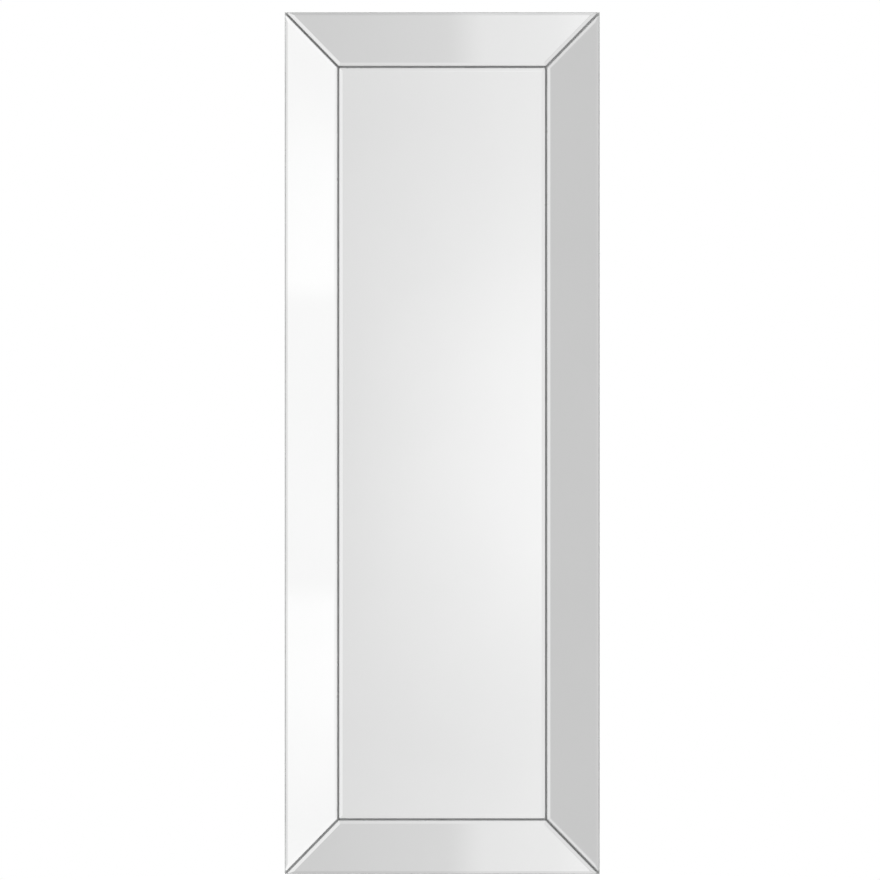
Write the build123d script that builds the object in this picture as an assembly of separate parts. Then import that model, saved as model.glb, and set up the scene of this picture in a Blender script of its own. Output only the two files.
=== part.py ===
from build123d import *
import os
from math import atan2, ceil, cos, degrees, sin, sqrt

# Wall mirror: a timber tray frame faced with four bevelled mirror strips round a large bevelled mirror.
# Millimetres. +X is to the right and +Z up as one looks at the mirror, whose front faces -Y.
# The origin is the middle of the wall plane, which the four rubber bumpers rest on.

# Overall size of the frame
mirror_width = 508.0
mirror_height = 1390.0

# Cross-section of a frame rail: its face slopes from the deep outer edge down to the shallow inner edge
rail_width = 85.0
rail_outer_depth = 40.0
rail_inner_depth = 17.0
rail_arris = 1.5
rebate_width = 20.0
rebate_depth = 12.0

# Mirror glass, its bevels and the dark seams between the pieces
strip_glass = 4.0
centre_glass = 5.0
bevel_width = 5.5
bevel_drop = 1.2
mitre_seam = 2.0
centre_seam = 2.0

# Double-sided foam tape: two runs under each strip mirror, several under the middle mirror
tape_thickness = 1.0
tape_width = 22.0
tape_inset = 12.0
tape_end_margin = 14.0
centre_tape_count = 4

# Back panel in the rear rebate
panel_thickness = 9.0
panel_clearance = 0.5

# Wire staples that hold the panel to the lips of the rails
staple_crown = 9.0
staple_wire = 1.2
staple_bite = 5.0
staple_pitch = 225.0
staple_end_distance = 50.0

# Angled nails driven across each mitre from the back
v_nail_arm = 6.0
v_nail_steel = 0.8
v_nail_depth = 10.0
v_nail_first = 12.0
v_nail_pitch = 18.0
v_nail_count = 3

# Rubber bumpers that keep the frame off the wall
bumper_height = 6.0
bumper_radius = 8.0
bumper_inset = 22.0

# Hangers: a steel strap folded round the bar of a D-shaped wire ring, with two pan-head screws
hanger_drop = 220.0
strap_steel = 1.2
strap_width = 14.0
strap_end_margin = 8.0
strap_corner = 3.0
strap_neck_radius = 1.5
ring_wire = 2.6
ring_flat_count = 12
ring_corner = 2.8
ring_reach = 17.0
ring_eye_clearance = 0.08
ring_side_clearance = 0.4
ring_head_clearance = 1.2
hanger_hole = 4.6
hanger_hole_pitch = 14.0
hanger_screw_shank = 4.2
hanger_screw_head = 8.0
hanger_screw_head_height = 2.1
hanger_screw_bite = 22.0
screw_hole_clearance = 0.05

# Values that follow from the sizes above
face_slope = atan2(rail_outer_depth - rail_inner_depth, rail_width)
strip_stack = tape_thickness + strip_glass
back_plane = Plane.XZ.offset(bumper_height)
rebate_start = rail_width - rebate_width
panel_back = rebate_depth - panel_thickness
eye_radius = ring_wire / 2 + ring_eye_clearance
ring_bar_height = strap_steel + eye_radius
ring_half_bar = strap_width / 2 + ring_side_clearance + ring_corner
hanger_bar_z = mirror_height / 2 - hanger_drop
first_hanger_hole = ring_reach + ring_wire / 2 + ring_head_clearance + hanger_screw_head / 2
hanger_holes = [first_hanger_hole, first_hanger_hole + hanger_hole_pitch]
strap_length = hanger_holes[-1] + strap_end_margin

# Angle of each side of the frame from the bottom one
side_angles = {"bottom": 0, "right": 90, "top": 180, "left": 270}

# Directions from the middle of the mirror to its stiles and corners
stile_signs = {"left": -1, "right": 1}
corner_signs = {
    "top_left": (-1, 1),
    "top_right": (1, 1),
    "bottom_left": (-1, -1),
    "bottom_right": (1, -1),
}


def side_length(side):
    """Outer length of a side of the frame."""
    return mirror_height if side in stile_signs else mirror_width


def side_place(side):
    """Place of a side: x runs along it, y points to the middle of the mirror and z to the front."""
    distance = (mirror_width if side in stile_signs else mirror_height) / 2
    return back_plane.location * Rot(0, 0, side_angles[side]) * Pos(0, -distance, 0)


def mitred_outline(long_half, short_half, width):
    """Trapezoid with its long side on the x axis."""
    return make_face(
        Polyline(
            (-long_half, 0),
            (long_half, 0),
            (short_half, width),
            (-short_half, width),
            close=True,
        )
    )


def frame_rail(length):
    """One rail of the tray frame, lying along x: sloped face, rear rebate and compound mitres."""
    section = make_face(
        Polyline(
            (0, 0),
            (0, rail_outer_depth),
            (rail_width, rail_inner_depth),
            (rail_width, rebate_depth),
            (rebate_start, rebate_depth),
            (rebate_start, 0),
            close=True,
        )
    )
    outer_corners = section.vertices().group_by(Axis.X)[0]
    bar = extrude(Plane.YZ * fillet(outer_corners, rail_arris), length / 2, both=True)
    plan = mitred_outline(length / 2, length / 2 - rail_width, rail_width)
    return bar & extrude(plan, rail_outer_depth)


def bevelled_glass(outline, thickness):
    """Sheet of glass on the XY plane with a bevel along every edge of its front."""
    sheet = extrude(outline, thickness)
    front = sheet.faces().sort_by(Axis.Z)[-1]
    return chamfer(front.edges(), bevel_width, bevel_drop, reference=front)


def face_place(height):
    """Place on the sloped face of a rail at its outer edge, a given height above the timber."""
    outer_edge = Plane(
        origin=(0, 0, rail_outer_depth),
        x_dir=(1, 0, 0),
        z_dir=(0, sin(face_slope), cos(face_slope)),
    )
    return outer_edge.offset(height).location


def strip_half_length(length, along_slope):
    """Half the length of a strip mirror's front at a distance down the slope from the outer edge.

    The strips are cut square through the glass, so their fronts come closest at the mitre, and it is
    there that the seam is measured.
    """
    inward = along_slope * cos(face_slope) + strip_stack * sin(face_slope)
    return length / 2 - inward - mitre_seam / sqrt(2)


def strip_slope_width():
    """Width of a strip mirror down the slope: its front inner edge ends over the timber's inner edge."""
    return (rail_width - strip_stack * sin(face_slope)) / cos(face_slope)


def strip_mirror(length):
    """Bevelled mirror strip that faces one rail, with ends cut to the compound mitre."""
    width = strip_slope_width()
    outline = mitred_outline(strip_half_length(length, 0), strip_half_length(length, width), width)
    return face_place(tape_thickness) * bevelled_glass(outline, strip_glass)


def tape_run(length):
    """Run of foam tape along x."""
    return extrude(Rectangle(length, tape_width), tape_thickness)


def strip_tape(length):
    """Two runs of foam tape that hold a strip mirror to its rail."""
    width = strip_slope_width()
    runs = []
    for start in (tape_inset, width - tape_inset - tape_width):
        half_length = strip_half_length(length, start + tape_width) - tape_end_margin
        runs.append(face_place(0) * Pos(0, start + tape_width / 2) * tape_run(2 * half_length))
    return runs


def even_places(span, count):
    """Places along a span that is centred on 0, the first and last at its ends."""
    return [span * (number / (count - 1) - 0.5) for number in range(count)]


def centre_mirror():
    """Large bevelled mirror at the bottom of the tray."""
    inset = rail_width + centre_seam
    outline = Rectangle(mirror_width - 2 * inset, mirror_height - 2 * inset)
    return back_plane.offset(rebate_depth + tape_thickness) * bevelled_glass(outline, centre_glass)


def centre_tape():
    """Upright runs of foam tape between the back panel and the middle mirror."""
    inset = rail_width + centre_seam
    span = mirror_width - 2 * inset - 2 * tape_inset - tape_width
    run = Rot(0, 0, 90) * tape_run(mirror_height - 2 * inset - 2 * tape_end_margin)
    return [back_plane.offset(rebate_depth) * Pos(x, 0) * run for x in even_places(span, centre_tape_count)]


def back_panel():
    """Fibreboard panel in the rear rebate."""
    inset = rebate_start + panel_clearance
    outline = Rectangle(mirror_width - 2 * inset, mirror_height - 2 * inset)
    return back_plane.offset(panel_back) * extrude(outline, panel_thickness)


def staple():
    """Wire staple with its crown along x and its legs along z."""
    half_crown = staple_crown / 2
    leg = panel_thickness + staple_bite
    outline = make_face(
        Polyline(
            (-half_crown, 0),
            (half_crown, 0),
            (half_crown, leg),
            (half_crown - staple_wire, leg),
            (half_crown - staple_wire, staple_wire),
            (staple_wire - half_crown, staple_wire),
            (staple_wire - half_crown, leg),
            (-half_crown, leg),
            close=True,
        )
    )
    return extrude(Plane.XZ * outline, staple_wire / 2, both=True)


def panel_staples():
    """Staples driven through the panel into the lips of all four rails, crowns flush with the panel."""
    lip_centre = rail_width - rebate_width / 2
    staples = []
    for side in side_angles:
        span = side_length(side) - 2 * rail_width - 2 * staple_end_distance
        for along in even_places(span, ceil(span / staple_pitch) + 1):
            staples.append(side_place(side) * Pos(along, lip_centre, panel_back) * staple())
    return staples


def corner_point(corner, inward_x, inward_z):
    """Point in the plane of the back, at two distances inward from an outer corner of the frame."""
    sign_x, sign_z = corner_signs[corner]
    return sign_x * (mirror_width / 2 - inward_x), sign_z * (mirror_height / 2 - inward_z)


def v_nails(corner):
    """Angled nails across a mitre, bend on the joint and an arm in each of the two rails."""
    nails = []
    for number in range(v_nail_count):
        bend = v_nail_first + number * v_nail_pitch
        inner_bend = bend + v_nail_steel
        tip = bend + v_nail_arm
        points = [
            (bend, bend),
            (tip, bend),
            (tip, inner_bend),
            (inner_bend, inner_bend),
            (inner_bend, tip),
            (bend, tip),
        ]
        outline = make_face(Polyline([corner_point(corner, x, z) for x, z in points], close=True))
        nails.append(extrude(back_plane * outline, v_nail_depth, dir=(0, -1, 0)))
    return nails


def wall_bumper(corner):
    """Rubber bumper near a corner of the back, its flat face in the wall plane."""
    x, z = corner_point(corner, bumper_inset, bumper_inset)
    return extrude(back_plane * Pos(x, z) * Circle(bumper_radius), bumper_height, dir=(0, 1, 0))


def hanger_place(side):
    """Place of a hanger on the back of a stile: x points down the strap, y to the wall, z to the right."""
    x = stile_signs[side] * (mirror_width - rebate_start) / 2
    return Plane(
        origin=(x, -bumper_height, hanger_bar_z),
        x_dir=(0, 0, -1),
        z_dir=(1, 0, 0),
    ).location


def fold_arcs(centre, offset):
    """Arcs of the folded strap's side view, offset outward from the middle of its steel.

    The first goes up round the eye of the ring's bar and the second, round the given centre, is the neck
    that brings the steel down to lie flat. They touch on the line between their centres.
    """
    lean = degrees(atan2(centre[1] - ring_bar_height, centre[0]))
    eye = CenterArc(
        (0, ring_bar_height),
        eye_radius + strap_steel / 2 + offset,
        -90,
        lean - 270,
    )
    neck = CenterArc(centre, strap_neck_radius - offset, 180 + lean, 90 - lean)
    return [eye, neck]


def hanger_strap():
    """Steel strap folded round the ring's bar, with two screw holes and rounded end corners."""
    middle_distance = eye_radius + strap_steel / 2 + strap_neck_radius
    neck_height = 1.5 * strap_steel + strap_neck_radius
    neck_along = sqrt(middle_distance**2 - (neck_height - ring_bar_height) ** 2)
    neck = (neck_along, neck_height)
    outer_edge = [
        Line((strap_length, 0), (0, 0)),
        *fold_arcs(neck, strap_steel / 2),
        Line((neck_along, 2 * strap_steel), (strap_length, 2 * strap_steel)),
        Line((strap_length, 2 * strap_steel), (strap_length, 0)),
    ]
    eye_edge = [*fold_arcs(neck, -strap_steel / 2), Line((neck_along, strap_steel), (0, strap_steel))]
    side_view = make_face(outer_edge) - make_face(eye_edge)
    strap = extrude(side_view, strap_width / 2, both=True)
    strap = fillet(strap.edges().filter_by(Axis.Y).group_by(Axis.X)[-1], strap_corner)
    hole = Rot(90, 0, 0) * Cylinder(hanger_hole / 2, 6 * strap_steel)
    return strap - [Pos(along, 0, 0) * hole for along in hanger_holes]


def hanger_ring():
    """D-shaped wire ring, its bar through the eye of the strap and its bow pointing up."""
    straight = ring_half_bar - ring_corner
    bow_start = ring_reach - ring_half_bar
    path = Wire(
        [
            Line((-straight, 0), (straight, 0)),
            CenterArc((straight, ring_corner), ring_corner, -90, 90),
            Line((ring_half_bar, ring_corner), (ring_half_bar, bow_start)),
            CenterArc((0, bow_start), ring_half_bar, 0, 180),
            Line((-ring_half_bar, bow_start), (-ring_half_bar, ring_corner)),
            CenterArc((-straight, ring_corner), ring_corner, 180, 90),
        ]
    )
    section = Plane.YZ * RegularPolygon(ring_wire / 2, ring_flat_count)
    bar_place = Plane(origin=(0, ring_bar_height, 0), x_dir=(0, 0, 1), z_dir=(0, -1, 0))
    return bar_place * sweep(section, path=path)


def hanger_screw():
    """Pan-head screw along -z, the underside of its head at z = 0."""
    base = (Align.CENTER, Align.CENTER, Align.MIN)
    shank_length = 2 * strap_steel + hanger_screw_bite
    head = Cylinder(hanger_screw_head / 2, hanger_screw_head_height, align=base)
    return head + Pos(0, 0, -shank_length) * Cylinder(hanger_screw_shank / 2, shank_length, align=base)


def hanger_seats():
    """Places of all the hanger screws on the backs of the stiles, z pointing to the wall."""
    upright = Rot(-90, 0, 0)
    return [hanger_place(side) * Pos(along, 0, 0) * upright for side in stile_signs for along in hanger_holes]


def screw_holes():
    """Holes that the hanger screws make in the backs of the stiles."""
    radius = hanger_screw_shank / 2 + screw_hole_clearance
    depth = hanger_screw_bite + screw_hole_clearance
    hole = Cylinder(radius, depth, align=(Align.CENTER, Align.CENTER, Align.MAX))
    return [seat * hole for seat in hanger_seats()]


def build_nodes():
    """Every piece of the mirror by name, as one shape or a list of separate shapes."""
    nails = {corner: v_nails(corner) for corner in corner_signs}
    staples = panel_staples()
    holes = staples + screw_holes() + [nail for group in nails.values() for nail in group]
    nodes = {
        "centre_mirror": centre_mirror(),
        "centre_foam_tape": centre_tape(),
        "back_panel": back_panel() - staples,
        "panel_staples": staples,
        "hanger_screws": [seat * Pos(0, 0, 2 * strap_steel) * hanger_screw() for seat in hanger_seats()],
    }
    for side in side_angles:
        length = side_length(side)
        rail_name = f"{side}_stile" if side in stile_signs else f"{side}_rail"
        nodes[rail_name] = side_place(side) * frame_rail(length) - holes
        nodes[f"{side}_strip_mirror"] = side_place(side) * strip_mirror(length)
        nodes[f"{side}_foam_tape"] = [side_place(side) * run for run in strip_tape(length)]
    for corner, group in nails.items():
        nodes[f"{corner}_v_nails"] = group
        nodes[f"{corner}_bumper"] = wall_bumper(corner)
    for side in stile_signs:
        nodes[f"{side}_hanger_strap"] = hanger_place(side) * hanger_strap()
        nodes[f"{side}_hanger_ring"] = hanger_place(side) * hanger_ring()
    return nodes


os.makedirs("parts", exist_ok=True)
for name, shape in build_nodes().items():
    pieces = shape if isinstance(shape, list) else [shape]
    solids = [solid for piece in pieces for solid in piece.solids()]
    export_step(Compound(solids), f"parts/{name}.step")
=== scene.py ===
"""Wall mirror: glass, timber, fittings and studio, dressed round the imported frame.

Metres throughout. +X is to the right, +Z up and the mirror faces -Y. The wall plane is y = 0.
"""
import logging
import math
from dataclasses import dataclass, field
from enum import Enum, IntEnum

import bmesh
import bpy
from mathutils import Matrix, Vector


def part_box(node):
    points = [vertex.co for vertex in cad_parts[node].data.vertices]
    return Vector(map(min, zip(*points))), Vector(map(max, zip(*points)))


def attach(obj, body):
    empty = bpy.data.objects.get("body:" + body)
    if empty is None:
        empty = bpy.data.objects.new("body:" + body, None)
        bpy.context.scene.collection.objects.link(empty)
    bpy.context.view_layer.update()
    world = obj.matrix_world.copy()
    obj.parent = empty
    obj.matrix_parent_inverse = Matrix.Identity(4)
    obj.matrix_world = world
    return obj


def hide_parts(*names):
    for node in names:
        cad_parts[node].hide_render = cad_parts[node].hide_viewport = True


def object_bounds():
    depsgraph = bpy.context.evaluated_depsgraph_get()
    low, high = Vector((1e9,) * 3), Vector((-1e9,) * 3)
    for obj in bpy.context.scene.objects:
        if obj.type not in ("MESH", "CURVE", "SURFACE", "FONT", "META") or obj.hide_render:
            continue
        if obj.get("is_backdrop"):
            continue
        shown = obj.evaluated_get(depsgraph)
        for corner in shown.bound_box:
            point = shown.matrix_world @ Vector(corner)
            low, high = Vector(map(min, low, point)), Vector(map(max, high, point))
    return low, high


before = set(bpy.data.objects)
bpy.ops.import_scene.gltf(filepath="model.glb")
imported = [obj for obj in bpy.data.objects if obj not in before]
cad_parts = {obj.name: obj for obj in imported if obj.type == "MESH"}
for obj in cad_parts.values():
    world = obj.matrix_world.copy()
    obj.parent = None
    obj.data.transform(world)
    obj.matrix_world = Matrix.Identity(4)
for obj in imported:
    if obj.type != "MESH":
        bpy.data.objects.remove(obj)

LOG = logging.getLogger("wall_mirror")

Colour = tuple[float, float, float]
Edges = list[bmesh.types.BMEdge]
Material = bpy.types.Material
Socket = bpy.types.NodeSocket
Span = tuple[float, float]
Stops = tuple[tuple[float, Colour], ...]
Triple = tuple[float, float, float]

WHITE: Colour = (1.0, 1.0, 1.0)
UNSTRETCHED: Triple = (1.0, 1.0, 1.0)
SHIFT_SHARES: Triple = (1.0, 0.7, 1.3)
CORNERS = ("top_left", "top_right", "bottom_left", "bottom_right")
QUARTER_TURN = math.pi / 2
MERGE_DISTANCE = 1e-6
FLAT_ANGLE = math.radians(0.2)

# Numbers of the Mix node's sockets for colours: its factor and two colours, and its result.
MIX_INPUTS = (0, 6, 7)
MIX_RESULT = 2


class Axis(IntEnum):
    """The axes, by their place in a vector."""

    X = 0
    Y = 1
    Z = 2


class Body(Enum):
    """The rigid bodies of the mirror."""

    MIRROR = "mirror"
    LEFT_RING = "left_ring"
    RIGHT_RING = "right_ring"


class Side(Enum):
    """The four sides of the frame."""

    LEFT = "left"
    RIGHT = "right"
    TOP = "top"
    BOTTOM = "bottom"


class Grain(Enum):
    """The axis along which the timber of a rail runs."""

    ACROSS = Axis.X
    UPRIGHT = Axis.Z


class GlassFace(IntEnum):
    """The faces of a mirror, by the number of their material."""

    POLISHED = 0
    GROUND = 1
    SILVERED = 2


@dataclass(frozen=True)
class Noise:
    """A fractal pattern: cells to a metre, octaves of detail and distortion."""

    scale: float
    detail: float = 3.0
    warp: float = 0.0


class NodeBench:
    """A node tree under construction."""

    def __init__(self, tree: bpy.types.NodeTree) -> None:
        """Take a tree to work on.

        Args:
            tree: Node tree of a material or a world.
        """
        self.tree = tree

    def node(self, kind: str, inputs: dict | None = None, **settings: object) -> bpy.types.Node:
        """Add a node.

        Args:
            kind: Blender's name of the node's type.
            inputs: Values or sockets by input name or number.
            **settings: Properties of the node.

        Returns:
            The new node.
        """
        node = self.tree.nodes.new(kind)
        for name, value in settings.items():
            setattr(node, name, value)
        for name, value in (inputs or {}).items():
            self.feed(node.inputs[name], value)
        return node

    def feed(self, socket: Socket, value: object) -> None:
        """Link a socket or set a plain value on an input.

        Args:
            socket: The input.
            value: An output socket, a number, a vector or a colour.
        """
        if isinstance(value, Socket):
            self.tree.links.new(value, socket)
        elif socket.type == "RGBA":
            socket.default_value = (*value, 1.0)
        else:
            socket.default_value = value

    def place(self, stretch: Triple = UNSTRETCHED, shift: float = 0.0) -> Socket:
        """Object coordinates, stretched along the axes.

        Args:
            stretch: Factor along each axis.
            shift: Distance by which the pattern moves along X, with its own share on Y and Z.

        Returns:
            The vector socket.
        """
        inputs = {
            "Vector": self.node("ShaderNodeTexCoord").outputs["Object"],
            "Location": tuple(shift * share for share in SHIFT_SHARES),
            "Scale": stretch,
        }
        return self.node("ShaderNodeMapping", inputs).outputs["Vector"]

    def noise(self, pattern: Noise, place: Socket | None = None) -> Socket:
        """Fractal noise from 0 to 1.

        Args:
            pattern: Its scale, detail and warp.
            place: Vector socket that it lies on, or None for plain object coordinates.

        Returns:
            The value socket.
        """
        inputs = {
            "Vector": self.place() if place is None else place,
            "Scale": pattern.scale,
            "Detail": pattern.detail,
            "Distortion": pattern.warp,
        }
        return self.node("ShaderNodeTexNoise", inputs).outputs["Fac"]

    def cells(self, place: Socket, scale: float) -> Socket:
        """Distance to the nearest of many scattered points, from 0 at the point."""
        inputs = {"Vector": place, "Scale": scale}
        return self.node("ShaderNodeTexVoronoi", inputs).outputs["Distance"]

    def ramp(self, factor: Socket, stops: Stops) -> Socket:
        """Colours along a factor.

        Args:
            factor: Value socket.
            stops: Positions from 0 to 1 with their colours.

        Returns:
            The colour socket.
        """
        node = self.node("ShaderNodeValToRGB", {"Fac": factor})
        elements = node.color_ramp.elements
        while len(elements) < len(stops):
            elements.new(0.5)
        for element, (position, colour) in zip(elements, stops):
            element.position = position
            element.color = (*colour, 1.0)
        return node.outputs["Color"]

    def span(
        self,
        value: Socket,
        start: float,
        end: float,
        low: float = 0.0,
        high: float = 1.0,
    ) -> Socket:
        """Ease a value from low at start to high at end.

        Args:
            value: Value socket.
            start: Input at which the result is low.
            end: Input at which the result is high.
            low: Result at and before start.
            high: Result at and past end.

        Returns:
            The value socket.
        """
        if start > end:
            start, end, low, high = end, start, high, low
        inputs = {"Value": value, "From Min": start, "From Max": end, "To Min": low, "To Max": high}
        node = self.node("ShaderNodeMapRange", inputs, interpolation_type="SMOOTHSTEP")
        return node.outputs["Result"]

    def maths(self, operation: str, first: object, second: object = 0.0) -> Socket:
        """Combine two values.

        Args:
            operation: Blender's name of the operation.
            first: Socket or number.
            second: Socket or number.

        Returns:
            The value socket.
        """
        return self.node("ShaderNodeMath", {0: first, 1: second}, operation=operation).outputs[0]

    def mix(self, share: object, first: object, second: object, blend: str = "MIX") -> Socket:
        """Mix two colours.

        Args:
            share: Socket or number, 0 for the first and 1 for the second.
            first: Socket or colour.
            second: Socket or colour.
            blend: Blender's name of the blend mode.

        Returns:
            The colour socket.
        """
        node = self.node("ShaderNodeMix", data_type="RGBA", blend_type=blend)
        for number, value in zip(MIX_INPUTS, (share, first, second)):
            self.feed(node.inputs[number], value)
        return node.outputs[MIX_RESULT]

    def bump(self, height: Socket, depth: float) -> Socket:
        """Relief from a height.

        Args:
            height: Value socket, from 0 to 1.
            depth: Depth in metres of a height of 1.

        Returns:
            The normal socket.
        """
        node = self.node("ShaderNodeBump", {"Height": height, "Strength": 1.0, "Distance": depth})
        return node.outputs["Normal"]

    def axis(self, source: Socket, axis: Axis) -> Socket:
        """One component of a vector socket."""
        return self.node("ShaderNodeSeparateXYZ", {0: source}).outputs[axis]

    def facing(self, start: float, end: float) -> Socket:
        """Share of a surface by the way it faces along Y.

        Args:
            start: Y of the normal at which the share is 0.
            end: Y of the normal at which the share is 1.

        Returns:
            The value socket.
        """
        normal = self.node("ShaderNodeNewGeometry").outputs["Normal"]
        return self.span(self.axis(normal, Axis.Y), start, end)

    def mirrored(self) -> Socket:
        """1 to rays that a mirror or glass has passed on and 0 to all others."""
        path = self.node("ShaderNodeLightPath").outputs
        return self.maths("MAXIMUM", path["Is Glossy Ray"], path["Is Transmission Ray"])


class Finish(NodeBench):
    """A node material under construction, with one Principled shader at its end."""

    def __init__(self, name: str, roughness: float = 0.5) -> None:
        """Start a material.

        Args:
            name: Name of the material.
            roughness: Roughness where nothing else sets it.
        """
        self.material = bpy.data.materials.new(name)
        self.material.use_nodes = True
        super().__init__(self.material.node_tree)
        self.shader = self.tree.nodes["Principled BSDF"]
        self.shader.inputs["Roughness"].default_value = roughness

    def set(self, **inputs: object) -> None:
        """Set inputs of the shader, with underscores for the spaces in their names."""
        for name, value in inputs.items():
            self.feed(self.shader.inputs[name.replace("_", " ")], value)


@dataclass(frozen=True)
class Glass:
    """Float glass with a finely uneven surface, rougher in patches."""

    name: str
    tint: Colour
    patches: Noise
    patch_span: Span
    patch_roughness: Span
    relief: Noise
    relief_depth: float
    patch_stretch: Triple = UNSTRETCHED
    refraction: float = 1.52

    def build(self) -> Material:
        """Build the material.

        Returns:
            Clear or frosted glass.
        """
        finish = Finish(self.name)
        patches = finish.noise(self.patches, finish.place(self.patch_stretch))
        finish.set(
            Base_Color=self.tint,
            Transmission_Weight=1.0,
            IOR=self.refraction,
            Roughness=finish.span(patches, *self.patch_span, *self.patch_roughness),
            Normal=finish.bump(finish.noise(self.relief), self.relief_depth),
        )
        return finish.material


# Front and bevels, with the faintest waviness and the haze that a cloth leaves.
POLISHED_GLASS = Glass(
    "polished_glass",
    tint=(0.995, 0.996, 0.9955),
    patches=Noise(6.0, 5.0, 1.5),
    patch_span=(0.55, 0.8),
    patch_roughness=(0.0, 0.012),
    relief=Noise(3.0, 1.0),
    relief_depth=0.00001,
    patch_stretch=(3.0, 3.0, 1.0),
)

# Rim and arris, frosted and faintly green.
GROUND_GLASS = Glass(
    "ground_glass_edge",
    tint=(0.93, 0.955, 0.945),
    patches=Noise(60.0, 2.0),
    patch_span=(0.3, 0.7),
    patch_roughness=(0.27, 0.45),
    relief=Noise(2600.0, 2.0),
    relief_depth=0.00004,
)


@dataclass(frozen=True)
class Silvering:
    """The silver on the back of the glass, a touch duller here and there."""

    clouds: Noise = Noise(5.0, 4.0)
    tones: Stops = ((0.3, (0.949, 0.950, 0.949)), (0.7, (0.968, 0.968, 0.967)))
    specks: Noise = Noise(900.0, 1.0)
    speck_span: Span = (0.4, 0.9)
    speck_roughness: float = 0.01
    waves: Noise = Noise(2.5, 1.0)
    wave_shift: float = 2.0
    wave_depth: float = 0.00002

    def build(self) -> Material:
        """Build the material.

        Returns:
            Bright silver with duller clouds.
        """
        finish = Finish("silvering", 0.0)
        specks = finish.noise(self.specks)
        waves = finish.noise(self.waves, finish.place(shift=self.wave_shift))
        finish.set(
            Base_Color=finish.ramp(finish.noise(self.clouds), self.tones),
            Metallic=1.0,
            Roughness=finish.span(specks, *self.speck_span, 0.0, self.speck_roughness),
            Normal=finish.bump(waves, self.wave_depth),
        )
        return finish.material


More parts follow.
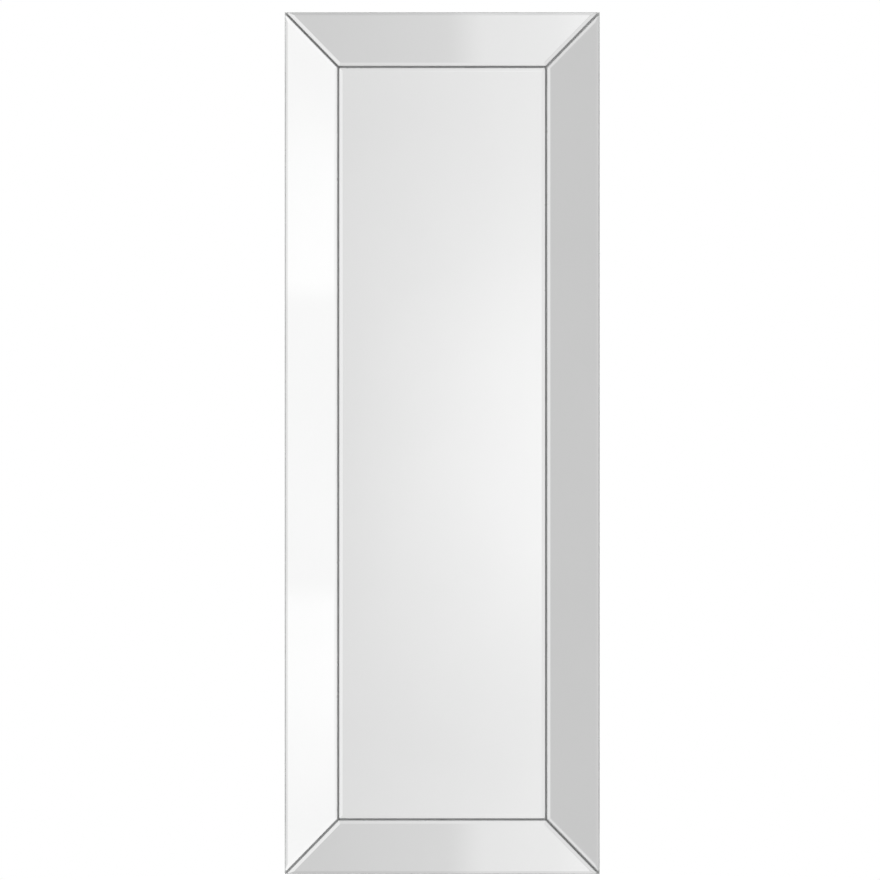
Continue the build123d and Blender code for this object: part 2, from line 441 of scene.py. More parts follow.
@dataclass(frozen=True)
class PaintedTimber:
    """Softwood rail: silver-grey outside, primed grey under the glass and bare at the back.

    The primer's grey is partly painted shade at the bottom of the seams. A side is given by the Y
    of the normal at which its coat begins and at which it is whole.
    """

    grain: Grain
    half_width: float = 0.254
    half_height: float = 0.695
    grain_stretch: float = 0.035
    grain_shift: float = 0.3
    pale_wood: Colour = (0.66, 0.50, 0.33)
    late_wood: Colour = (0.47, 0.31, 0.17)
    rings: Noise = Noise(95.0, 4.0, 0.9)
    ring_places: tuple[float, ...] = (0.36, 0.52, 0.62, 0.70)
    fibres: Noise = Noise(900.0)
    fibre_shades: Stops = ((0.3, (0.55, 0.52, 0.48)), (0.7, WHITE))
    fibre_share: float = 0.35
    bare_roughness: float = 0.72
    paint: Colour = (0.62, 0.62, 0.61)
    rubbed: Colour = (0.70, 0.70, 0.69)
    rubbing: Noise = Noise(22.0, 4.0)
    rubbing_span: Span = (0.35, 0.75)
    rubbed_share: float = 0.5
    paint_roughness: float = 0.38
    brush: Noise = Noise(260.0)
    brush_depth: float = 0.00005
    bare_side: Span = (0.6, 0.9)
    overspray: float = 0.009
    spray: Noise = Noise(75.0, 8.0, 1.2)
    spray_fade: Span = (-0.0006, 0.0012)
    # Grey primer under the glass, darkened to paint the shade at the bottom of the seams.
    primer_and_seam_shade: Colour = (0.32, 0.32, 0.322)
    primer_and_shade_side: Span = (0.6, 0.3)
    primer_and_shade_edge: Span = (0.004, 0.005)
    # Painted seam shade along the mitres, out to the corners of the frame.
    seam_shade_side: Span = (-0.3, -0.6)
    seam_shade_edge: Span = (0.00196, 0.0014)
    joint: Colour = (0.20, 0.15, 0.10)
    joint_edge: Span = (0.0003, 0.00015)
    joint_strength: float = 0.7

    def build(self) -> Material:
        """Build the material.

        Returns:
            Bare wood, paint and primer with painted seam shade, each where it belongs on the frame.
        """
        finish = Finish(f"painted_timber_{self.grain.name.lower()}")
        along = list(UNSTRETCHED)
        along[self.grain.value] = self.grain_stretch
        streaks = finish.place(tuple(along), self.grain_shift)
        fibres = finish.noise(self.fibres, streaks)
        rubbed = finish.span(finish.noise(self.rubbing), *self.rubbing_span, 0.0, self.rubbed_share)
        paint = finish.mix(rubbed, self.paint, self.rubbed)
        inward, off_joint = self.distances(finish)
        painted = self.painted_share(finish, inward)
        colour = finish.mix(painted, self.wood(finish, streaks, fibres), paint)
        joint = finish.span(off_joint, *self.joint_edge, 0.0, self.joint_strength)
        colour = finish.mix(joint, colour, self.joint)
        # Primer under the glass, partly painted shade where the seams show it.
        colour = finish.mix(self.shade_and_primer_share(finish, inward, off_joint), colour, self.primer_and_seam_shade)
        relief = finish.mix(painted, fibres, finish.noise(self.brush, streaks))
        finish.set(
            Base_Color=colour,
            Roughness=finish.span(painted, 0.0, 1.0, self.bare_roughness, self.paint_roughness),
            Normal=finish.bump(relief, self.brush_depth),
        )
        return finish.material

    def wood(self, finish: Finish, streaks: Socket, fibres: Socket) -> Socket:
        """Bare softwood with its late-wood lines and fine fibres.

        Args:
            finish: The material under construction.
            streaks: Coordinates stretched along the grain.
            fibres: Noise of the fibres.

        Returns:
            The colour socket.
        """
        tones = (self.pale_wood, self.pale_wood, self.late_wood, self.pale_wood)
        stops = tuple(zip(self.ring_places, tones))
        lines = finish.ramp(finish.noise(self.rings, streaks), stops)
        shade = finish.ramp(fibres, self.fibre_shades)
        return finish.mix(self.fibre_share, lines, shade, "MULTIPLY")

    def distances(self, finish: Finish) -> tuple[Socket, Socket]:
        """Distances from the frame's outline and from its mitres.

        Args:
            finish: The material under construction.

        Returns:
            Value sockets of the distance inward and of the distance along from the nearest mitre.
        """
        place = finish.node("ShaderNodeTexCoord").outputs["Object"]
        edges = [
            finish.maths("SUBTRACT", half, finish.maths("ABSOLUTE", finish.axis(place, axis)))
            for half, axis in ((self.half_width, Axis.X), (self.half_height, Axis.Z))
        ]
        off_joint = finish.maths("ABSOLUTE", finish.maths("SUBTRACT", *edges))
        return finish.maths("MINIMUM", *edges), off_joint

    def painted_share(self, finish: Finish, inward: Socket) -> Socket:
        """Share of paint: all but the back, with uneven overspray along the back's outer edge.

        Args:
            finish: The material under construction.
            inward: Distance from the frame's outline.

        Returns:
            The value socket, 1 where painted.
        """
        ragged = finish.maths("MULTIPLY", finish.noise(self.spray), self.overspray)
        bare = finish.span(finish.maths("SUBTRACT", inward, ragged), *self.spray_fade)
        bare = finish.maths("MULTIPLY", bare, finish.facing(*self.bare_side))
        return finish.maths("SUBTRACT", 1.0, bare)

    def shade_and_primer_share(self, finish: Finish, inward: Socket, off_joint: Socket) -> Socket:
        """Share of the grey primer under the glass, partly painted shade at the bottom of the
        seams.

        Along the mitres this painted seam shade runs out to the corners of the frame.

        Args:
            finish: The material under construction.
            inward: Distance from the frame's outline.
            off_joint: Distance from the nearest mitre.

        Returns:
            The value socket, 1 where primed or painted with seam shade.
        """
        covered = finish.span(inward, *self.primer_and_shade_edge)
        covered = finish.maths("MULTIPLY", covered, finish.facing(*self.primer_and_shade_side))
        # Painted shade along the mitres, out to the corners of the frame.
        painted_seam_shade = finish.span(off_joint, *self.seam_shade_edge)
        painted_seam_shade = finish.maths("MULTIPLY", painted_seam_shade, finish.facing(*self.seam_shade_side))
        return finish.maths("MAXIMUM", covered, painted_seam_shade)


@dataclass(frozen=True)
class Fibreboard:
    """Fibreboard: raw pressed fibres with darker flecks at the back, sealed grey at the front."""

    roughness: float = 0.8
    clouds: Noise = Noise(14.0, 5.0)
    tones: Stops = ((0.35, (0.41, 0.30, 0.19)), (0.65, (0.53, 0.40, 0.27)))
    fibres: Noise = Noise(1300.0, 4.0, 2.0)
    fibre_stretch: Triple = (1.0, 1.0, 0.45)
    fibre_share: float = 0.6
    fibre_depth: float = 0.00006
    fleck: Colour = (0.25, 0.17, 0.10)
    fleck_scale: float = 260.0
    fleck_stretch: Triple = (1.0, 1.0, 0.5)
    fleck_shift: float = 0.4
    fleck_edge: Span = (0.16, 0.10)
    fleck_share: float = 0.65
    sealer: Colour = (0.60, 0.60, 0.602)
    sealed_side: Span = (-0.6, -0.9)

    def build(self) -> Material:
        """Build the material.

        Returns:
            Brown board, grey on the face that the mirror is taped to.
        """
        finish = Finish("fibreboard", self.roughness)
        fibres = finish.noise(self.fibres, finish.place(self.fibre_stretch))
        mottled = finish.mix(self.fibre_share, finish.noise(self.clouds), fibres)
        cells = finish.cells(finish.place(self.fleck_stretch, self.fleck_shift), self.fleck_scale)
        flecks = finish.span(cells, *self.fleck_edge, 0.0, self.fleck_share)
        colour = finish.mix(flecks, finish.ramp(mottled, self.tones), self.fleck)
        colour = finish.mix(finish.facing(*self.sealed_side), colour, self.sealer)
        finish.set(Base_Color=colour, Normal=finish.bump(fibres, self.fibre_depth))
        return finish.material


@dataclass(frozen=True)
class FoamTape:
    """White closed-cell foam with its cells showing at the cut edges."""

    roughness: float = 0.9
    cell_scale: float = 3200.0
    cell_depth: float = 0.0001
    # Greyer towards the middle of each cell: painted shade in the pits.
    tones: Stops = ((0.1, (0.60, 0.60, 0.58)), (0.5, (0.85, 0.85, 0.83)))

    def build(self) -> Material:
        """Build the material.

        Returns:
            White foam, with painted shade in its pits.
        """
        finish = Finish("foam_tape", self.roughness)
        cells = finish.cells(finish.place(), self.cell_scale)
        finish.set(
            # Painted shade in the pits of the cells.
            Base_Color=finish.ramp(cells, self.tones),
            Normal=finish.bump(cells, self.cell_depth),
        )
        return finish.material


@dataclass(frozen=True)
class PlatedSteel:
    """Plated steel with a spangle of brighter and duller patches and fine scratches."""

    name: str
    colour: Colour
    roughness: float
    spread: float = 0.10
    stretch: Triple = UNSTRETCHED
    patches: Noise = Noise(420.0, 4.0)
    patch_span: Span = (0.3, 0.7)
    tone_places: Span = (0.35, 0.65)
    dulling: float = 0.82
    scratches: Noise = Noise(5200.0)
    scratch_depth: float = 0.000006

    def build(self) -> Material:
        """Build the material.

        Returns:
            Spangled metal, rougher where it is duller.
        """
        finish = Finish(self.name)
        patches = finish.noise(self.patches)
        scratches = finish.noise(self.scratches, finish.place(self.stretch))
        duller = tuple(share * self.dulling for share in self.colour)
        rougher = self.roughness + self.spread
        finish.set(
            Base_Color=finish.ramp(patches, tuple(zip(self.tone_places, (duller, self.colour)))),
            Metallic=1.0,
            Roughness=finish.span(patches, *self.patch_span, rougher, self.roughness),
            Normal=finish.bump(scratches, self.scratch_depth),
        )
        return finish.material


@dataclass(frozen=True)
class BumperRubber:
    """Matt black rubber with dust in its moulded skin."""

    dust: Noise = Noise(700.0, 5.0)
    tones: Stops = ((0.45, (0.045, 0.045, 0.047)), (0.8, (0.13, 0.125, 0.12)))
    dust_span: Span = (0.3, 0.8)
    dust_roughness: Span = (0.55, 0.8)
    skin: Noise = Noise(1800.0, 2.0)
    skin_depth: float = 0.00005

    def build(self) -> Material:
        """Build the material.

        Returns:
            Black rubber, greyer and rougher where dusty.
        """
        finish = Finish("bumper_rubber")
        dust = finish.noise(self.dust)
        finish.set(
            Base_Color=finish.ramp(dust, self.tones),
            Roughness=finish.span(dust, *self.dust_span, *self.dust_roughness),
            Normal=finish.bump(finish.noise(self.skin), self.skin_depth),
        )
        return finish.material


def add_object(name: str, data: bpy.types.ID) -> bpy.types.Object:
    """Add an object to the scene.

    Args:
        name: Name of the object.
        data: Its mesh, lamp or camera.

    Returns:
        The new object.
    """
    item = bpy.data.objects.new(name, data)
    bpy.context.scene.collection.objects.link(item)
    return item


def add_mesh(name: str, shape: bmesh.types.BMesh) -> bpy.types.Object:
    """Add an object with a finished mesh, and free the bmesh.

    Args:
        name: Name of the object and its mesh.
        shape: The bmesh.

    Returns:
        The new object.
    """
    mesh = bpy.data.meshes.new(name)
    shape.to_mesh(mesh)
    shape.free()
    return add_object(name, mesh)


class Shape:
    """A mesh that is shaped with bmesh operators and then becomes a piece."""

    def __init__(self) -> None:
        """Start an empty mesh."""
        self.mesh = bmesh.new()

    @classmethod
    def of_node(cls, node: str) -> "Shape":
        """Copy the solid of a node, its triangles merged and its flat faces made whole.

        Args:
            node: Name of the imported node.

        Returns:
            The new shape.
        """
        shape = cls()
        mesh = shape.mesh
        mesh.from_mesh(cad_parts[node].data)
        bmesh.ops.remove_doubles(mesh, verts=mesh.verts, dist=MERGE_DISTANCE)
        bmesh.ops.dissolve_limit(mesh, angle_limit=FLAT_ANGLE, verts=mesh.verts, edges=mesh.edges)
        for face in mesh.faces:
            face.material_index = 0
        return shape

    def round_edges(self, edges: Edges, radius: float, segments: int) -> None:
        """Round some edges.

        Args:
            edges: The edges.
            radius: Distance that the rounding reaches from the edge.
            segments: Faces across it.
        """
        bmesh.ops.bevel(
            self.mesh,
            geom=edges,
            offset=radius,
            offset_type="OFFSET",
            segments=segments,
            profile=0.5,
            affect="EDGES",
            material=-1,
            clamp_overlap=True,
        )

    def finish(
        self,
        name: str,
        body: Body,
        slot: str,
        materials: list[Material],
        smooth: bool = False,
    ) -> bpy.types.Object:
        """Turn the mesh into a piece that rides on a body.

        Args:
            name: Name of the piece.
            body: Body that it moves with.
            slot: Not used.
            materials: Materials in the order of the faces' numbers.
            smooth: Whether its faces are shaded smooth.

        Returns:
            The new object.
        """
        bmesh.ops.recalc_face_normals(self.mesh, faces=self.mesh.faces)
        for face in self.mesh.faces:
            face.smooth = smooth
        piece = add_mesh(name, self.mesh)
        for material in materials:
            piece.data.materials.append(material)
        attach(piece, body.value)
        LOG.info("%s: %d faces on %s", name, len(piece.data.polygons), body.value)
        return piece


def dress(node: str, material: Material) -> None:
    """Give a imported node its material.

    Args:
        node: Name of the node.
        material: Its material.
    """
    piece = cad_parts[node]
    piece.data.materials.clear()
    piece.data.materials.append(material)
    LOG.info("%s: dressed in %s", node, material.name)


@dataclass
class BevelledMirror:
    """A sheet of bevelled glass, silvered at the back, with an arris along its ground rim.

    The cosines tell its faces apart by their angle from the room or from the front of the sheet.
    """

    node: str
    name: str
    slot: str
    glass: Material
    rim: Material
    silver: Material
    arris: float = 0.0009
    lacquer: float = 0.00005
    room_cosine: float = 0.5
    bevel_cosine: float = 0.955
    back_cosine: float = -0.999

    def front(self, shape: Shape) -> Vector:
        """Direction that the front of the glass faces.

        Args:
            shape: The copied solid.

        Returns:
            The normal of its largest face that looks away from the wall.
        """
        faces = [face for face in shape.mesh.faces if -face.normal.y > self.room_cosine]
        return max(faces, key=lambda face: face.calc_area()).normal.copy()

    def sort_faces(self, shape: Shape, front: Vector) -> None:
        """Number the faces: the polished front and bevels, the ground rim and the silver.

        Args:
            shape: The copied solid.
            front: Direction that the front faces.
        """
        for face in shape.mesh.faces:
            cosine = face.normal.dot(front)
            if cosine > self.bevel_cosine:
                face.material_index = GlassFace.POLISHED
            elif cosine < self.back_cosine:
                face.material_index = GlassFace.SILVERED
            else:
                face.material_index = GlassFace.GROUND

    def build(self) -> None:
        """Build the mirror in the place of its node."""
        shape = Shape.of_node(self.node)
        mesh = shape.mesh
        mesh.normal_update()
        front = self.front(shape)
        self.sort_faces(shape, front)
        rim = [
            edge
            for edge in mesh.edges
            if any(face.material_index == GlassFace.GROUND for face in edge.link_faces)
        ]
        shape.round_edges(rim, self.arris, segments=1)
        mesh.normal_update()
        self.sort_faces(shape, front)
        silvered = [face for face in mesh.faces if face.material_index == GlassFace.SILVERED]
        back = {point for face in silvered for point in face.verts}
        bmesh.ops.translate(mesh, verts=list(back), vec=front * self.lacquer)
        finishes = [self.glass, self.rim, self.silver]
        piece = shape.finish(self.name, Body.MIRROR, self.slot, finishes)
        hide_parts(self.node)


@dataclass
class MirrorGlass:
    """The middle mirror and the four strips round it."""

    glass: Glass = POLISHED_GLASS
    rim: Glass = GROUND_GLASS
    silver: Silvering = Silvering()

    def build(self) -> None:
        """Build the five mirrors."""
        finishes = (self.glass.build(), self.rim.build(), self.silver.build())
        sheets = [("centre_mirror", "centre_bevelled_mirror", "centre_silvered_glass")]
        for side in Side:
            names = (f"{side.value}_strip_mirror", f"{side.value}_bevelled_strip")
            sheets.append((*names, "strip_silvered_glass"))
        for node, name, slot in sheets:
            BevelledMirror(node, name, slot, *finishes).build()


@dataclass
class TrayFrame:
    """The painted timber rails, the nails across their mitres and the tape under the strips."""

    nail_steel: PlatedSteel = PlatedSteel("nail_steel", (0.45, 0.45, 0.44), 0.42)
    tape: FoamTape = FoamTape()

    def build(self) -> None:
        """Dress the rails, nails and tape."""
        rails = {
            Grain.ACROSS: ("top_rail", "bottom_rail"),
            Grain.UPRIGHT: ("left_stile", "right_stile"),
        }
        for grain, nodes in rails.items():
            timber = PaintedTimber(grain).build()
            for node in nodes:
                dress(node, timber)
        steel = self.nail_steel.build()
        for corner in CORNERS:
            dress(f"{corner}_v_nails", steel)
        tape = self.tape.build()
        dress("centre_foam_tape", tape)
        for side in Side:
            dress(f"{side.value}_foam_tape", tape)


@dataclass
class BackPanel:
    """The fibreboard panel and the wire staples that hold it."""

    board: Fibreboard = Fibreboard()
    wire: PlatedSteel = PlatedSteel("galvanised_wire", (0.62, 0.62, 0.60), 0.34, 0.14)
    wire_rounding: float = 0.00035
    rounding_steps: int = 2

    def build(self) -> None:
        """Dress the panel and build the staples."""
        dress("back_panel", self.board.build())
        staples = Shape.of_node("panel_staples")
        staples.round_edges(list(staples.mesh.edges), self.wire_rounding, self.rounding_steps)
        piece = staples.finish("wire_staples", Body.MIRROR, "galvanised_wire", [self.wire.build()])
        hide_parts("panel_staples")


@dataclass
class WallBumper:
    """A round rubber bumper with a softly moulded rim."""

    corner: str
    rubber: Material
    rounding: float = 0.0012
    rounding_steps: int = 4
    sharp_angle: float = 40.0
    flats: int = 48

    def build(self) -> None:
        """Build the bumper in the place of its node."""
        node = f"{self.corner}_bumper"
        low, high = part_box(node)
        middle = (low + high) / 2
        shape = Shape()
        radius = (high.x - low.x) / 2
        bmesh.ops.create_cone(
            shape.mesh,
            cap_ends=True,
            segments=self.flats,
            radius1=radius,
            radius2=radius,
            depth=high.y - low.y,
            matrix=Matrix.Translation(middle) @ Matrix.Rotation(-QUARTER_TURN, 4, "X"),
        )
        wall_rim = [
            edge
            for edge in shape.mesh.edges
            if edge.verts[0].co.y > middle.y
            and any(len(face.verts) == self.flats for face in edge.link_faces)
        ]
        shape.round_edges(wall_rim, self.rounding, self.rounding_steps)
        name = f"{self.corner}_rubber_bumper"
        piece = shape.finish(name, Body.MIRROR, "bumper_rubber", [self.rubber], smooth=True)
        piece.data.set_sharp_from_angle(angle=math.radians(self.sharp_angle))
        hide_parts(node)


@dataclass
class HangerRing:
    """A D-shaped ring of round wire: a straight bar, two small corners and a bow."""

    bar_centre: Vector
    wire: float = 0.0026
    half_bar: float = 0.0102
    corner: float = 0.0028
    reach: float = 0.017
    closing_gap: float = 0.00001
    wire_flats: int = 24
    corner_steps: int = 8
    bow_steps: int = 32
    loop: Edges = field(default_factory=list)

    def move(self, shape: Shape, step: Vector) -> None:
        """Draw the wire on in a straight line.

        Args:
            shape: The mesh.
            step: How far it goes.
        """
        drawn = bmesh.ops.extrude_edge_only(shape.mesh, edges=self.loop)["geom"]
        points = [item for item in drawn if isinstance(item, bmesh.types.BMVert)]
        bmesh.ops.translate(shape.mesh, verts=points, vec=step)
        self.loop = [item for item in drawn if isinstance(item, bmesh.types.BMEdge)]

    def turn(self, shape: Shape, centre: Vector, angle: float, steps: int) -> None:
        """Bend the wire round a centre, in the plane of the ring.

        Args:
            shape: The mesh.
            centre: Centre of the bend.
            angle: Angle in degrees.
            steps: Faces along the bend.
        """
        bent = bmesh.ops.spin(
            shape.mesh,
            geom=self.loop,
            cent=centre,
            axis=(0, -1, 0),
            angle=math.radians(angle),
            steps=steps,
            use_duplicate=False,
        )
        self.loop = [item for item in bent["geom_last"] if isinstance(item, bmesh.types.BMEdge)]

    def build(self, side: Side, body: Body, material: Material) -> None:
        """Build the ring in the place of its node.

        Args:
            side: Side of the mirror that it hangs on.
            body: Body that it swings with.
            material: Its plated wire.
        """
        shape = Shape()
        straight = self.half_bar - self.corner
        bow_start = self.reach - self.half_bar
        at = self.bar_centre
        bmesh.ops.create_circle(
            shape.mesh,
            segments=self.wire_flats,
            radius=self.wire / 2,
            matrix=Matrix.Translation(at) @ Matrix.Rotation(QUARTER_TURN, 4, "Y"),
        )
        self.loop = list(shape.mesh.edges)
        self.move(shape, Vector((straight, 0, 0)))
        self.turn(shape, at + Vector((straight, 0, self.corner)), 90, self.corner_steps)
        self.move(shape, Vector((0, 0, bow_start - self.corner)))
        self.turn(shape, at + Vector((0, 0, bow_start)), 180, self.bow_steps)
        self.move(shape, Vector((0, 0, self.corner - bow_start)))
        self.turn(shape, at + Vector((-straight, 0, self.corner)), 90, self.corner_steps)
        self.move(shape, Vector((straight, 0, 0)))
        bmesh.ops.remove_doubles(shape.mesh, verts=shape.mesh.verts, dist=self.closing_gap)
        name = f"{side.value}_wire_ring"
        piece = shape.finish(name, body, "plated_wire", [material], smooth=True)
        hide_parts(f"{side.value}_hanger_ring")


@dataclass
class PanHeadScrew:
    """A pan-head wood screw with a cross recess, upright, with the underside of its head at 0."""

    head_radius: float = 0.004
    head_height: float = 0.0021
    head_wall: float = 0.0009
    crown_steps: int = 8
    crown_power: float = 0.6
    shank_radius: float = 0.0021
    shank_length: float = 0.0244
    tip_length: float = 0.005
    recess_span: float = 0.0043
    recess_width: float = 0.0011
    recess_depth: float = 0.0014
    recess_taper: Triple = (0.35, 0.7, 1.0)
    flats: int = 40

    def profile(self) -> list[tuple[float, float]]:
        """Outline of half the screw.

        Returns:
            Radius and height of each point, from the tip to the top of the head.
        """
        points = [
            (0.0, -self.shank_length),
            (self.shank_radius, self.tip_length - self.shank_length),
            (self.shank_radius, 0.0),
            (self.head_radius, 0.0),
            (self.head_radius, self.head_wall),
        ]
        crown = self.head_height - self.head_wall
        for step in range(1, self.crown_steps):
            angle = QUARTER_TURN * step / self.crown_steps
            radius = self.head_radius * math.cos(angle) ** self.crown_power
            points.append((radius, self.head_wall + crown * math.sin(angle)))
        points.append((0.0, self.head_height))
        return points

    def turned(self, shape: Shape) -> None:
        """Spin the outline into the screw's body.

        Args:
            shape: The mesh.
        """
        mesh = shape.mesh
        points = [mesh.verts.new((radius, 0, height)) for radius, height in self.profile()]
        edges = [mesh.edges.new(pair) for pair in zip(points, points[1:])]
        bmesh.ops.spin(
            mesh,
            geom=points + edges,
            cent=(0, 0, 0),
            axis=(0, 0, 1),
            angle=2 * math.pi,
            steps=self.flats,
            use_merge=True,
        )
        bmesh.ops.remove_doubles(mesh, verts=mesh.verts, dist=MERGE_DISTANCE)
        bmesh.ops.recalc_face_normals(mesh, faces=mesh.faces)

    def recess(self) -> bpy.types.Object:
        """Cutter for the cross recess.

        Returns:
            An object of two crossed wedges, narrower at the bottom.
        """
        cutter = bmesh.new()
        size = (self.recess_span, self.recess_width, self.recess_depth * 2)
        for turn in (0.0, QUARTER_TURN):
            made = bmesh.ops.create_cube(cutter, size=1.0)["verts"]
            bmesh.ops.scale(cutter, verts=made, vec=size)
            low = [point for point in made if point.co.z < 0]
            bmesh.ops.scale(cutter, verts=low, vec=self.recess_taper)
            bmesh.ops.rotate(cutter, verts=made, matrix=Matrix.Rotation(turn, 3, "Z"))
            bmesh.ops.translate(cutter, verts=made, vec=(0, 0, self.head_height))
        return add_mesh("recess_cutter", cutter)

    def mesh(self) -> bpy.types.Mesh:
        """Cut the recess into the screw.

        Returns:
            The finished mesh of one screw.
        """
        shape = Shape()
        self.turned(shape)
        screw = add_mesh("screw_blank", shape.mesh)
        cutter = self.recess()
        cut = screw.modifiers.new("recess", "BOOLEAN")
        cut.object = cutter
        cut.operation = "DIFFERENCE"
        cut.solver = "EXACT"
        cut.use_self = True
        bpy.context.view_layer.update()
        cut_screw = screw.evaluated_get(bpy.context.evaluated_depsgraph_get())
        finished = bpy.data.meshes.new_from_object(cut_screw)
        for item in (screw, cutter):
            bpy.data.objects.remove(item)
        return finished


@dataclass
class Hangers:
    """The two straps on the stiles, their swinging rings and their screws."""

    bar_height: float = 0.475
    bar_depth: float = -0.00342
    strap_top: float = -0.0036
    hole_drops: Span = (0.0235, 0.0375)
    recess_turns: tuple[float, ...] = (17.0, -31.0, 40.0, 8.0)
    sharp_angle: float = 30.0
    strap_steel: PlatedSteel = PlatedSteel(
        "plated_strap", (0.66, 0.66, 0.64), 0.30, 0.12, (0.08, 1.0, 1.0)
    )
    ring_steel: PlatedSteel = PlatedSteel("plated_wire", (0.72, 0.72, 0.70), 0.16, 0.06)
    screw_steel: PlatedSteel = PlatedSteel("zinc_screws", (0.68, 0.68, 0.66), 0.24, 0.10)

    def middle(self, side: Side) -> float:
        """Distance of a hanger from the middle of the mirror, along X."""
        low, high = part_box(f"{side.value}_hanger_strap")
        return (low.x + high.x) / 2

    def screws(self) -> None:
        """Build the four screws as one group in the place of their node."""
        one = PanHeadScrew().mesh()
        group = Shape()
        seats = [(side, drop) for side in (Side.LEFT, Side.RIGHT) for drop in self.hole_drops]
        for (side, drop), angle in zip(seats, self.recess_turns):
            known = len(group.mesh.verts)
            group.mesh.from_mesh(one)
            group.mesh.verts.ensure_lookup_table()
            seat = Vector((self.middle(side), self.strap_top, self.bar_height - drop))
            place = Matrix.Translation(seat) @ Matrix.Rotation(-QUARTER_TURN, 4, "X")
            place = place @ Matrix.Rotation(math.radians(angle), 4, "Z")
            bmesh.ops.transform(group.mesh, matrix=place, verts=group.mesh.verts[known:])
        steel = self.screw_steel.build()
        piece = group.finish("pan_head_screws", Body.MIRROR, "zinc_screws", [steel], smooth=True)
        piece.data.set_sharp_from_angle(angle=math.radians(self.sharp_angle))
        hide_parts("hanger_screws")

    def build(self) -> None:
        """Dress the straps and build the rings and screws."""
        strap = self.strap_steel.build()
        wire = self.ring_steel.build()
        for side, body in ((Side.LEFT, Body.LEFT_RING), (Side.RIGHT, Body.RIGHT_RING)):
            dress(f"{side.value}_hanger_strap", strap)
            bar = Vector((self.middle(side), self.bar_depth, self.bar_height))
            HangerRing(bar).build(side, body, wire)
        self.screws()


@dataclass(frozen=True)
class Band:
    """A change of tone in the room round the mirror, eased in over an angle.

    Angles are in degrees: the turn to the right of the way the mirror faces and the rise above or
    below level. Each runs from where the change begins to where it is whole. A band that has both
    changes the tone only where both allow it.
    """

    change: float
    turn: Span | None = None
    rise: Span | None = None


@dataclass
class StudioRoom:
    """The pale room that the glass and metal mirror: brighter to the right, greyer to the left."""

    light: float = 0.62
    tone: float = 0.764
    mirror_loss: float = 0.95
    level_slope: float = 0.024
    level_reach: float = 2.5
    bands: tuple[Band, ...] = (
        Band(0.017, turn=(2.5, 7.0)),
        Band(0.1065, turn=(13.5, 17.0)),
        Band(-0.20, turn=(33.0, 41.0)),
        Band(0.085, turn=(-3.0, -8.0)),
        Band(-0.2165, turn=(-14.5, -27.0)),
        Band(0.025, turn=(-32.0, -42.0)),
        Band(0.147, turn=(-60.0, -150.0)),
        Band(0.090, turn=(-3.6, 2.0), rise=(6.0, 0.5)),
        Band(-0.090, turn=(3.0, 8.0), rise=(6.0, 0.5)),
        Band(0.012, turn=(-3.0, 2.0), rise=(20.0, 6.0)),
        Band(-0.092, turn=(0.9, 0.0), rise=(8.0, 22.0)),
        Band(-0.09, rise=(26.0, 40.0)),
        Band(-0.12, turn=(0.0, 3.0), rise=(32.0, 40.0)),
        Band(0.05, turn=(2.1, 3.0), rise=(18.0, 24.0)),
        Band(-0.026, turn=(20.0, 28.0)),
        Band(0.048, turn=(20.0, 28.0), rise=(2.4, 3.0)),
        Band(-0.062, turn=(20.0, 28.0), rise=(4.2, 7.0)),
    )

    def build(self) -> None:
        """Build the world: white to the camera, toned to mirrors and plain to all else."""
        world = bpy.data.worlds.new("studio_room")
        bpy.context.scene.world = world
        world.use_nodes = True
        room = NodeBench(world.node_tree)
        path = room.node("ShaderNodeLightPath").outputs
        seen = room.mix(room.mirrored(), (self.light,) * 3, self.seen_tone(room))
        seen = room.mix(path["Is Camera Ray"], seen, WHITE)
        room.feed(room.tree.nodes["Background"].inputs["Color"], seen)
        LOG.info("studio room: %d bands of tone", len(self.bands))

    def seen_tone(self, room: NodeBench) -> Socket:
        """Tone of the room in each direction.

        Args:
            room: The world's nodes under construction.

        Returns:
            The value socket.
        """
        way = room.node("ShaderNodeTexCoord").outputs["Generated"]
        ahead = room.maths("MULTIPLY", room.axis(way, Axis.Y), -1.0)
        turn = room.maths("DEGREES", room.maths("ARCTAN2", room.axis(way, Axis.X), ahead))
        rise = room.maths("ABSOLUTE", room.maths("ARCSINE", room.axis(way, Axis.Z)))
        rise = room.maths("DEGREES", rise)
        inputs = {"Value": turn, "Min": -self.level_reach, "Max": self.level_reach}
        level = room.node("ShaderNodeClamp", inputs).outputs[0]
        tone = room.maths("ADD", room.maths("MULTIPLY", level, self.level_slope), self.tone)
        for band in self.bands:
            change = band.change
            if band.turn:
                change = room.span(turn, *band.turn, 0.0, band.change)
            if band.rise:
                change = room.maths("MULTIPLY", room.span(rise, *band.rise), change)
            tone = room.maths("ADD", tone, change)
        return room.maths("DIVIDE", tone, self.mirror_loss)


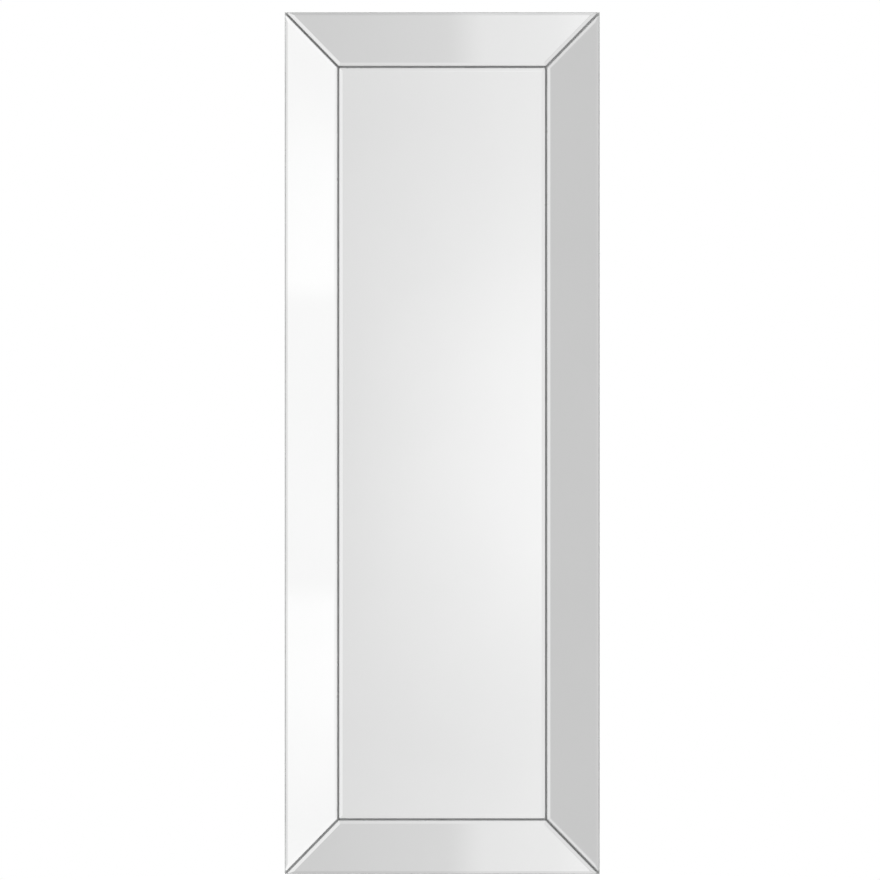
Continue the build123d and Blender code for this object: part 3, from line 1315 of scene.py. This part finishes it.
@dataclass
class StudioFloor:
    """Plain pale floor well below the mirror, white to the camera but for the mirror's shadow."""

    drop: float = 0.35
    radius: float = 2.6
    flats: int = 96
    grain: Noise = Noise(40.0)
    tones: Stops = ((0.3, (0.80, 0.80, 0.80)), (0.7, (0.81, 0.81, 0.81)))
    lift: float = 0.35

    def material(self) -> Material:
        """Build the floor's material.

        Returns:
            A diffuse floor that mirrors look through to the room.
        """
        finish = Finish("studio_floor")
        finish.tree.nodes.remove(finish.shader)
        path = finish.node("ShaderNodeLightPath").outputs
        lift = finish.maths("MULTIPLY", path["Is Camera Ray"], self.lift)
        colour = finish.ramp(finish.noise(self.grain), self.tones)
        diffuse = finish.node("ShaderNodeBsdfDiffuse", {"Color": colour}).outputs[0]
        glow = finish.node("ShaderNodeEmission", {"Color": WHITE, "Strength": lift}).outputs[0]
        lit = finish.node("ShaderNodeAddShader", {0: diffuse, 1: glow}).outputs[0]
        clear = finish.node("ShaderNodeBsdfTransparent").outputs[0]
        choice = {0: finish.mirrored(), 1: lit, 2: clear}
        surface = finish.node("ShaderNodeMixShader", choice).outputs[0]
        finish.feed(finish.tree.nodes["Material Output"].inputs["Surface"], surface)
        return finish.material

    def build(self, bottom: float) -> None:
        """Build the floor.

        Args:
            bottom: Height of the lowest point of the mirror.
        """
        disc = bmesh.new()
        bmesh.ops.create_circle(
            disc,
            cap_ends=True,
            segments=self.flats,
            radius=self.radius,
            matrix=Matrix.Translation((0, 0, bottom - self.drop)),
        )
        floor = add_mesh("studio_floor", disc)
        floor.data.materials.append(self.material())
        floor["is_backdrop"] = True
        LOG.info("studio floor: %.2f m below the mirror", self.drop)


@dataclass(frozen=True)
class SoftLamp:
    """A large square lamp that looks at the middle of the mirror."""

    name: str
    place: Triple
    power: float
    size: float = 2.0
    mirrored: bool = False

    def build(self) -> None:
        """Build the lamp."""
        lamp = bpy.data.lights.new(self.name, "AREA")
        lamp.energy = self.power
        lamp.size = self.size
        item = add_object(self.name, lamp)
        item.location = self.place
        item.rotation_euler = (-Vector(self.place)).to_track_quat("-Z", "Y").to_euler()
        item.visible_camera = False
        item.visible_glossy = self.mirrored
        item.visible_transmission = self.mirrored
        LOG.info("%s: %.0f W", self.name, self.power)


@dataclass
class StudioCamera:
    """A long lens straight in front of the mirror.

    The edge plane is where the scale in pixels holds. Right and down shift the mirror in pixels.
    """

    distance: float = 5.2
    edge_plane: float = 0.045
    pixels_per_metre: float = 620.08
    frame_pixels: int = 880
    sensor: float = 36.0
    right: float = 2.2
    down: float = 3.2
    far_clip: float = 50.0

    def build(self) -> None:
        """Build the camera and make it the scene's."""
        camera = bpy.data.cameras.new("studio_camera")
        camera.sensor_width = self.sensor
        lens_pixels = self.pixels_per_metre * (self.distance - self.edge_plane)
        camera.lens = lens_pixels * self.sensor / self.frame_pixels
        camera.shift_x = -self.right / self.frame_pixels
        camera.shift_y = self.down / self.frame_pixels
        camera.clip_end = self.far_clip
        item = add_object("studio_camera", camera)
        item.location = (0.0, -self.distance, 0.0)
        item.rotation_euler = (QUARTER_TURN, 0.0, 0.0)
        bpy.context.scene.camera = item
        LOG.info("camera: %.1f mm lens at %.1f m", camera.lens, self.distance)


@dataclass
class Studio:
    """Room, floor, lamps and camera."""

    room: StudioRoom = field(default_factory=StudioRoom)
    floor: StudioFloor = field(default_factory=StudioFloor)
    lamps: tuple[SoftLamp, ...] = (
        SoftLamp("front_lamp", (2.0, -3.4, 2.4), 95.0),
        SoftLamp("fill_lamp", (-2.6, -2.8, 0.6), 35.0),
        SoftLamp("back_lamp", (-2.2, 3.2, 2.4), 85.0, mirrored=True),
    )
    camera: StudioCamera = field(default_factory=StudioCamera)
    glass_passes: int = 24
    silver_bounces: int = 16

    def lengthen_light_paths(self) -> None:
        """Let light that is caught between silver and bevel find its way out at the rim."""
        cycles = bpy.context.scene.cycles
        cycles.max_bounces = self.glass_passes
        cycles.transmission_bounces = self.glass_passes
        cycles.glossy_bounces = self.silver_bounces

    def build(self, bottom: float) -> None:
        """Build the studio round the mirror.

        Args:
            bottom: Height of the lowest point of the mirror.
        """
        self.lengthen_light_paths()
        self.room.build()
        self.floor.build(bottom)
        for lamp in self.lamps:
            lamp.build()
        self.camera.build()


def box_corners() -> list[list[float]]:
    """Lowest and highest corner of all that is shown, as plain lists."""
    return [[float(value) for value in corner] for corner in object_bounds()]


def main() -> None:
    """Build the mirror and its studio."""
    logging.basicConfig(level=logging.INFO, format="%(message)s")
    bpy.context.scene.view_settings.view_transform = "Standard"
    packed_box = box_corners()
    MirrorGlass().build()
    TrayFrame().build()
    BackPanel().build()
    rubber = BumperRubber().build()
    for corner in CORNERS:
        WallBumper(corner, rubber).build()
    Hangers().build()
    Studio().build(packed_box[0][2])


if __name__ == "__main__":
    main()
